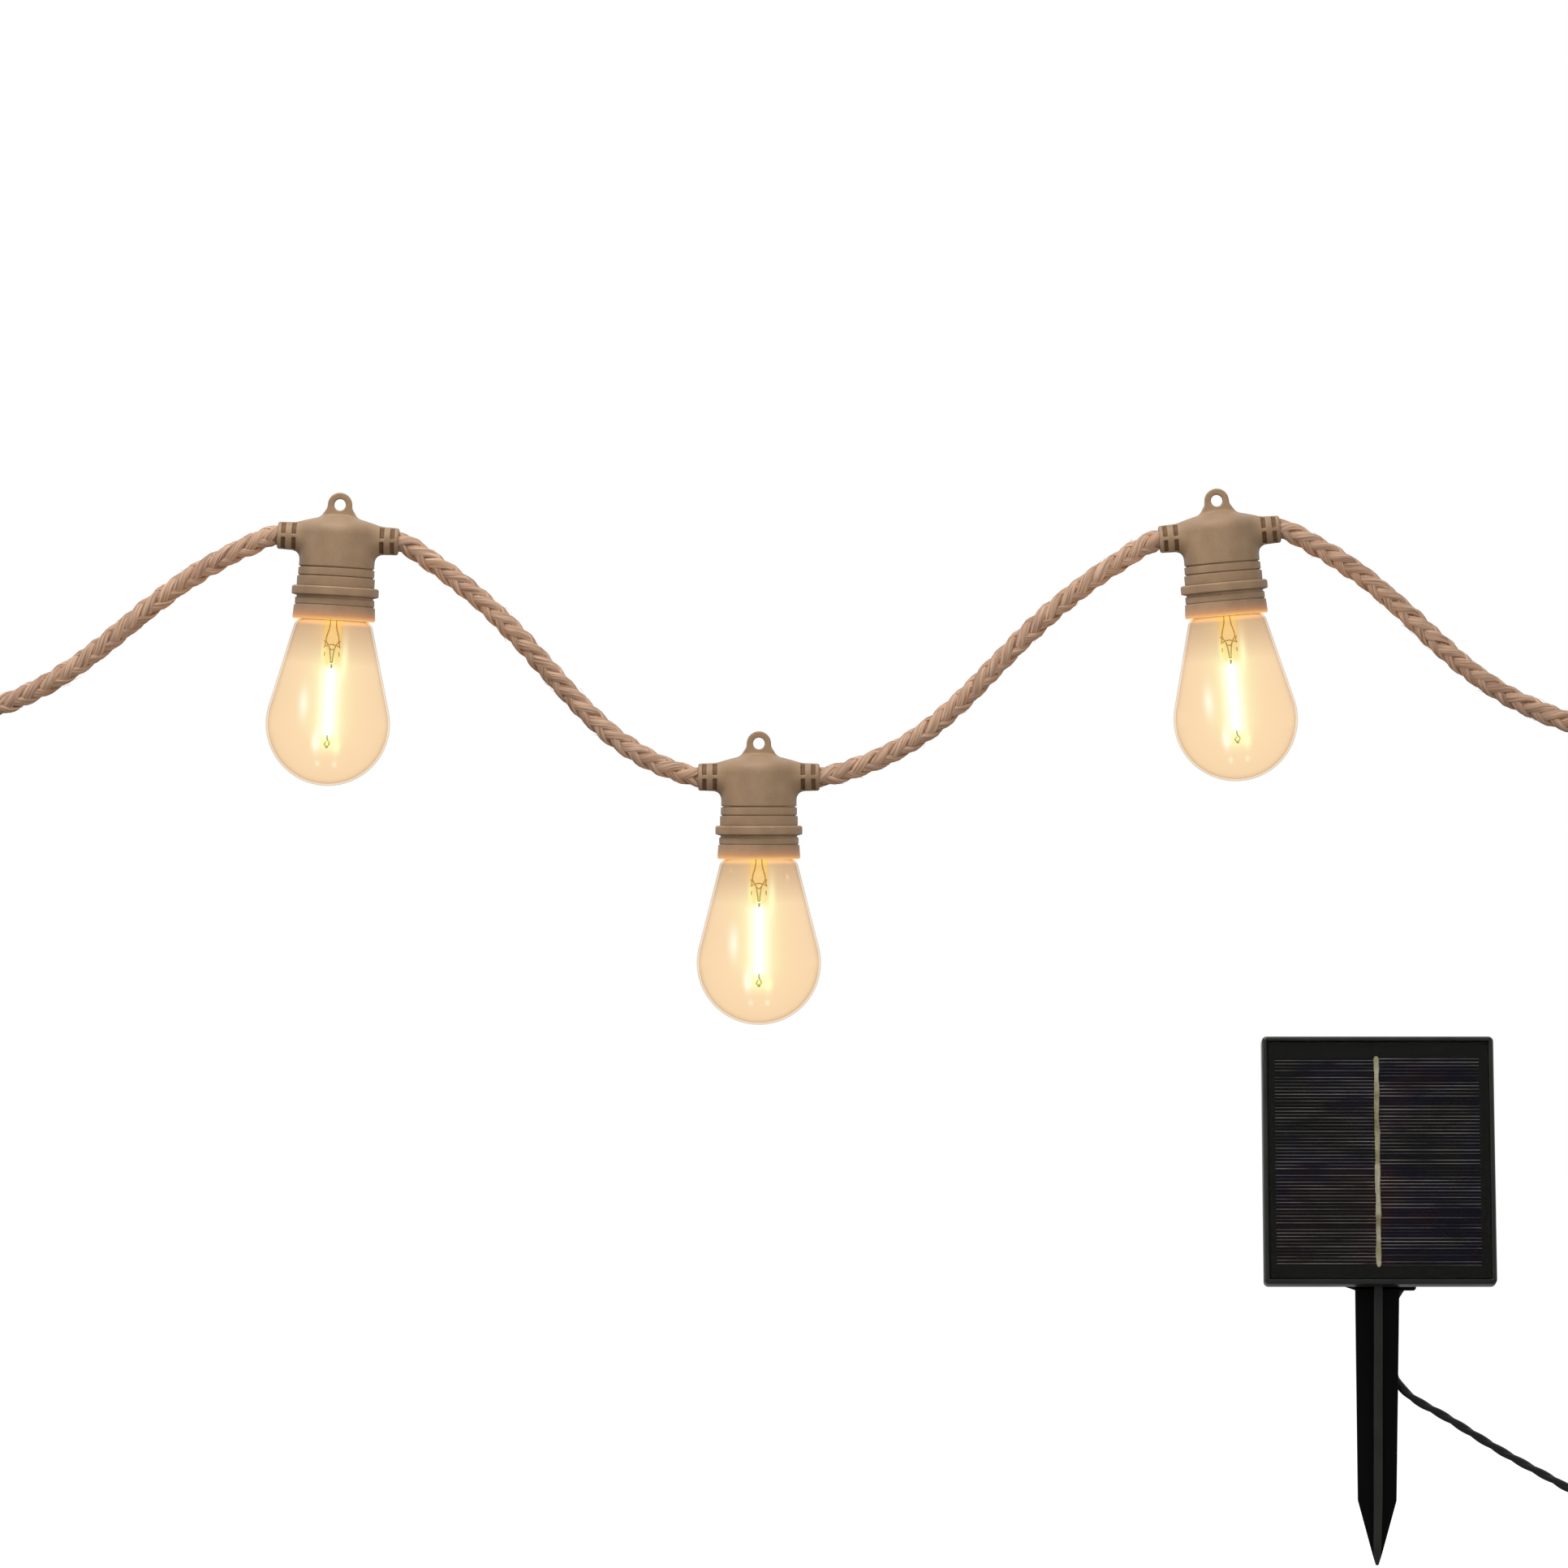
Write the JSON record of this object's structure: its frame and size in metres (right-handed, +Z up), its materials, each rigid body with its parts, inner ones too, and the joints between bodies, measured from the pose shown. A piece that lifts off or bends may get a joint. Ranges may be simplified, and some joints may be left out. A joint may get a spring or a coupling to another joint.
{
  "type": "solar string lights",
  "caption": "Jute-covered festoon cable with hanging lamp holders and screw-in filament bulbs, led to a tilting solar panel on a ground stake.",
  "frame": {"origin": "centre of the middle lamp's hanging eye; the claimed point is 3.1 mm below it, on the eye's front face", "axes": "+X along the rope to the right, +Y to the back, +Z up; the front faces -Y"},
  "size_m": [0.6879, 0.0498, 0.3905],
  "materials": {
    "tan_rubber": "satin moulded tan plastic-rubber",
    "jute": "braided jute, matt and hairy",
    "black_plastic": "satin moulded black",
    "black_rubber": "matt black cable jacket",
    "nickel_plate": "thin rolled nickel-plated metal",
    "brass": "plain brass",
    "steel": "zinc-plated steel",
    "bulb_glass": "clear, thin, faintly amber",
    "filament": "glowing phosphor-coated filament",
    "solar_cell": "near-black silicon strips",
    "panel_resin": "clear resin face, gloss",
    "battery_sleeve": "plain shrink sleeve",
    "circuit_board": "green solder mask"
  },
  "bodies": {
    "string": {"rope_span_far_left": "jute", "rope_span_left": "jute", "rope_span_right": "jute", "rope_span_far_right": "jute", "core_cable": "black_rubber", "rope_end_cap": "tan_rubber", "rope_end_sleeve": "tan_rubber", "upper_lead": "black_rubber", "lower_lead": "black_rubber", "connector_socket": "black_rubber", "connector_plug": "black_rubber", "stake": "black_plastic", "pivot_bolt": "steel"},
    "left_lamp": {"left_holder": "tan_rubber", "left_skirt": "tan_rubber", "left_socket_insert": "black_plastic", "left_screw_shell": "nickel_plate", "left_centre_contact": "brass"},
    "left_bulb_seat": {"left_bulb_gasket": "black_rubber"},
    "left_bulb": {"left_bulb_glass": "bulb_glass", "left_bulb_cap": "nickel_plate", "left_cap_contact": "brass", "left_bulb_stem": "bulb_glass", "left_filament": "filament"},
    "centre_lamp": {"centre_holder": "tan_rubber", "centre_skirt": "tan_rubber", "centre_socket_insert": "black_plastic", "centre_screw_shell": "nickel_plate", "centre_centre_contact": "brass"},
    "centre_bulb_seat": {"centre_bulb_gasket": "black_rubber"},
    "centre_bulb": {"centre_bulb_glass": "bulb_glass", "centre_bulb_cap": "nickel_plate", "centre_cap_contact": "brass", "centre_bulb_stem": "bulb_glass", "centre_filament": "filament"},
    "right_lamp": {"right_holder": "tan_rubber", "right_skirt": "tan_rubber", "right_socket_insert": "black_plastic", "right_screw_shell": "nickel_plate", "right_centre_contact": "brass"},
    "right_bulb_seat": {"right_bulb_gasket": "black_rubber"},
    "right_bulb": {"right_bulb_glass": "bulb_glass", "right_bulb_cap": "nickel_plate", "right_cap_contact": "brass", "right_bulb_stem": "bulb_glass", "right_filament": "filament"},
    "panel": {"panel_frame": "black_plastic", "solar_cell": "solar_cell", "panel_window": "panel_resin", "rear_housing": "black_plastic", "battery": "battery_sleeve", "circuit_board": "circuit_board", "lead_tail": "black_rubber", "housing_screw_1": "steel", "housing_screw_2": "steel", "housing_screw_3": "steel", "housing_screw_4": "steel"},
    "button": {"power_button": "black_rubber"},
    "knob": {"wing_knob": "black_plastic"},
    "collar_nut": {"connector_nut": "black_plastic"}
  },
  "joints": [
    {"name": "left_lamp_swing", "type": "hinge", "parent": "string", "child": "left_lamp", "pos_m": [-0.15238, 0, 0.07422], "axis": [0.9984, 0, -0.0558], "range_deg": [-30, 30]},
    {"name": "left_bulb_travel", "type": "slide", "parent": "left_lamp", "child": "left_bulb_seat", "axis": [-0.0558, 0, -0.9984], "range_m": [0, 0.0099]},
    {"name": "left_bulb_turn", "type": "hinge", "parent": "left_bulb_seat", "child": "left_bulb", "pos_m": [-0.1517, 0, 0.0864], "axis": [-0.0558, 0, -0.9984], "range_deg": [0, 1260]},
    {"name": "centre_lamp_swing", "type": "hinge", "parent": "string", "child": "centre_lamp", "pos_m": [0, 0, -0.0122], "axis": [1, 0, 0], "range_deg": [-30, 30]},
    {"name": "centre_bulb_travel", "type": "slide", "parent": "centre_lamp", "child": "centre_bulb_seat", "axis": [0, 0, -1], "range_m": [0, 0.0099]},
    {"name": "centre_bulb_turn", "type": "hinge", "parent": "centre_bulb_seat", "child": "centre_bulb", "pos_m": [0, 0, 0], "axis": [0, 0, -1], "range_deg": [0, 1260]},
    {"name": "right_lamp_swing", "type": "hinge", "parent": "string", "child": "right_lamp", "pos_m": [0.16686, 0, 0.07575], "axis": [0.9962, 0, 0.0872], "range_deg": [-30, 30]},
    {"name": "right_bulb_travel", "type": "slide", "parent": "right_lamp", "child": "right_bulb_seat", "axis": [0.0872, 0, -0.9962], "range_m": [0, 0.0099]},
    {"name": "right_bulb_turn", "type": "hinge", "parent": "right_bulb_seat", "child": "right_bulb", "pos_m": [0.1658, 0, 0.0879], "axis": [0.0872, 0, -0.9962], "range_deg": [0, 1260]},
    {"name": "panel_tilt", "type": "hinge", "parent": "string", "child": "panel", "pos_m": [0.2243, 0.005, -0.1859], "axis": [-1, 0, 0], "range_deg": [-12, 50]},
    {"name": "power_button_press", "type": "slide", "parent": "panel", "child": "button", "axis": [0, -0.9781, 0.2079], "range_m": [0, 0.0012]},
    {"name": "wing_knob_turn", "type": "hinge", "parent": "string", "child": "knob", "pos_m": [0.2243, 0.005, -0.1859], "axis": [-1, 0, 0], "range_deg": [0, 450]},
    {"name": "connector_nut_turn", "type": "hinge", "parent": "string", "child": "collar_nut", "pos_m": [0.381, 0, -0.138], "axis": [0, 0, -1], "range_deg": [0, 540]}
  ],
  "couplings": [
    {"joint": "left_bulb_travel", "follows": "left_bulb_turn", "m_per_rad": 0.00044882},
    {"joint": "centre_bulb_travel", "follows": "centre_bulb_turn", "m_per_rad": 0.00044882},
    {"joint": "right_bulb_travel", "follows": "right_bulb_turn", "m_per_rad": 0.00044882}
  ]
}
